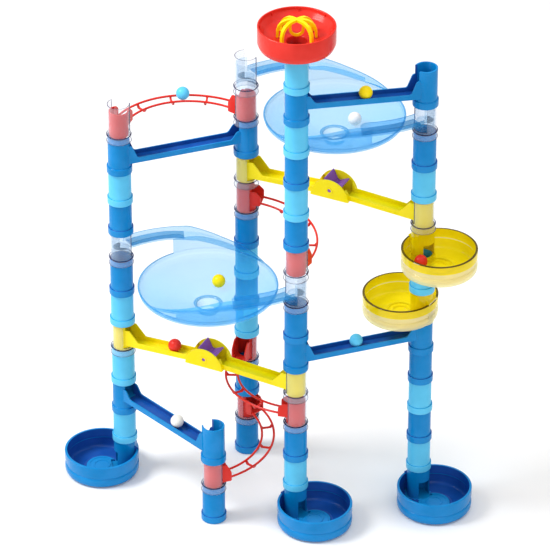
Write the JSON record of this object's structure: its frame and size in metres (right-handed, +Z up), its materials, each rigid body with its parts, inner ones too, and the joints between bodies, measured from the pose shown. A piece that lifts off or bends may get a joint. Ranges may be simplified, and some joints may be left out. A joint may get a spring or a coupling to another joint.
{
  "type": "marble run",
  "caption": "Free-standing toy marble run: push-fit tube towers joined by chutes, curved rails, rocker chutes and swirl bowls, fed by a funnel on top.",
  "frame": {"origin": "middle of the bounding box in plan, at floor level", "axes": "+Z up; +X along the two long links, from the left and back towers to the front and right towers; +Y from the front pair of towers to the back pair"},
  "size_m": [0.4848, 0.267, 0.6801],
  "materials": {
    "dark_blue_plastic": "glossy, opaque",
    "light_blue_plastic": "glossy, opaque",
    "clear_plastic": "glossy, see-through",
    "red_plastic": "glossy, opaque",
    "yellow_plastic": "glossy, opaque",
    "purple_plastic": "glossy, opaque",
    "tinted_blue_plastic": "glossy, see-through",
    "tinted_yellow_plastic": "glossy, see-through",
    "white_plastic": "glossy, opaque"
  },
  "bodies": {
    "marble_run": {"back_clear_tube_1": "clear_plastic", "back_clear_tube_3": "clear_plastic", "back_clear_tubes_11_12": "clear_plastic", "back_clear_tubes_8_9": "clear_plastic", "back_tube_0": "dark_blue_plastic", "back_tube_2": "dark_blue_plastic", "back_tubes_4_to_7": "light_blue_plastic", "base_cup_front": "dark_blue_plastic", "base_cup_left": "dark_blue_plastic", "base_cup_right": "dark_blue_plastic", "bowl_back_right": "tinted_blue_plastic", "bowl_left_front": "tinted_blue_plastic", "chute_back_to_left": "dark_blue_plastic", "chute_front_to_right": "dark_blue_plastic", "chute_left_to_short": "dark_blue_plastic", "chute_right_to_front": "dark_blue_plastic", "front_clear_tubes_3_4": "clear_plastic", "front_clear_tubes_7_8": "clear_plastic", "front_tube_1": "light_blue_plastic", "front_tube_14": "light_blue_plastic", "front_tube_2": "dark_blue_plastic", "front_tube_6": "dark_blue_plastic", "front_tubes_9_to_12": "dark_blue_plastic", "funnel": "red_plastic", "left_clear_tube_11": "clear_plastic", "left_clear_tube_4": "clear_plastic", "left_clear_tube_7": "clear_plastic", "left_tube_1": "light_blue_plastic", "left_tube_3": "light_blue_plastic", "left_tube_5": "light_blue_plastic", "left_tube_6": "dark_blue_plastic", "left_tube_8": "dark_blue_plastic", "left_tube_9": "light_blue_plastic", "rail_back_to_front": "red_plastic", "rail_back_to_short": "red_plastic", "rail_front_to_back": "red_plastic", "rail_left_to_back": "red_plastic", "right_clear_tube_12": "clear_plastic", "right_clear_tube_9": "clear_plastic", "right_tube_10": "light_blue_plastic", "right_tube_11": "dark_blue_plastic", "right_tube_7": "light_blue_plastic", "right_tubes_1_to_4": "light_blue_plastic", "scrambler": "yellow_plastic", "short_clear_tube_1": "clear_plastic", "short_tube_0": "dark_blue_plastic", "wheel_chute_back_right": "yellow_plastic", "wheel_chute_left_front": "yellow_plastic", "yellow_cup_lower": "tinted_yellow_plastic", "yellow_cup_upper": "tinted_yellow_plastic"},
    "marble_bowl_back_right": {"marble_bowl_back_right": "white_plastic"},
    "marble_bowl_left_front": {"marble_bowl_left_front": "yellow_plastic"},
    "marble_left_chute": {"marble_left_chute": "white_plastic"},
    "marble_lower_chute": {"marble_lower_chute": "light_blue_plastic"},
    "marble_on_rail": {"marble_on_rail": "light_blue_plastic"},
    "marble_upper_chute": {"marble_upper_chute": "yellow_plastic"},
    "marble_yellow_chute": {"marble_yellow_chute": "red_plastic"},
    "marble_yellow_cup": {"marble_yellow_cup": "red_plastic"},
    "rocker_back_right": {"rocker_back_right": "purple_plastic"},
    "rocker_left_front": {"rocker_left_front": "purple_plastic"}
  },
  "joints": [
    {"name": "marble_upper_chute_roll", "type": "slide", "parent": "marble_run", "child": "marble_upper_chute", "axis": [0.7489, 0.6605, -0.0546], "range_m": [-0.0801, 0.0698]},
    {"name": "marble_lower_chute_roll", "type": "slide", "parent": "marble_run", "child": "marble_lower_chute", "axis": [-0.7489, -0.6605, -0.0546], "range_m": [-0.0781, 0.0718]},
    {"name": "marble_left_chute_roll", "type": "slide", "parent": "marble_run", "child": "marble_left_chute", "axis": [0.9464, -0.3183, -0.0546], "range_m": [-0.0901, 0.0598]},
    {"name": "marble_yellow_chute_roll", "type": "slide", "parent": "marble_run", "child": "marble_yellow_chute", "axis": [0.9989, 0, 0.0477], "range_m": [-0.0681, 0.0195]},
    {"name": "rocker_left_front_tip", "type": "hinge", "parent": "marble_run", "child": "rocker_left_front", "pos_m": [-0.05916, -0.05083, 0.196], "axis": [0, 1, 0], "range_deg": [0, 50]},
    {"name": "rocker_back_right_tip", "type": "hinge", "parent": "marble_run", "child": "rocker_back_right", "pos_m": [0.05612, 0.05083, 0.406], "axis": [0, 1, 0], "range_deg": [0, 50]},
    {"name": "marble_on_rail_roll", "type": "hinge", "parent": "marble_run", "child": "marble_on_rail", "pos_m": [-0.08636, -0.03412, 0.48778], "axis": [0.0297, 0.0262, 0.9992], "range_deg": [-33.5, 47.8]},
    {"name": "marble_bowl_left_front_circle", "type": "hinge", "parent": "marble_run", "child": "marble_bowl_left_front", "pos_m": [-0.05916, -0.05083, 0.28114], "axis": [0, 0, 1], "continuous": true},
    {"name": "marble_bowl_back_right_circle", "type": "hinge", "parent": "marble_run", "child": "marble_bowl_back_right", "pos_m": [0.05612, 0.05083, 0.4898], "axis": [0, 0, 1], "continuous": true},
    {"name": "marble_yellow_cup_circle", "type": "hinge", "parent": "marble_run", "child": "marble_yellow_cup", "pos_m": [0.19781, 0.03962, 0.3473], "axis": [0, 0, 1], "range_deg": [0, 254]}
  ]
}
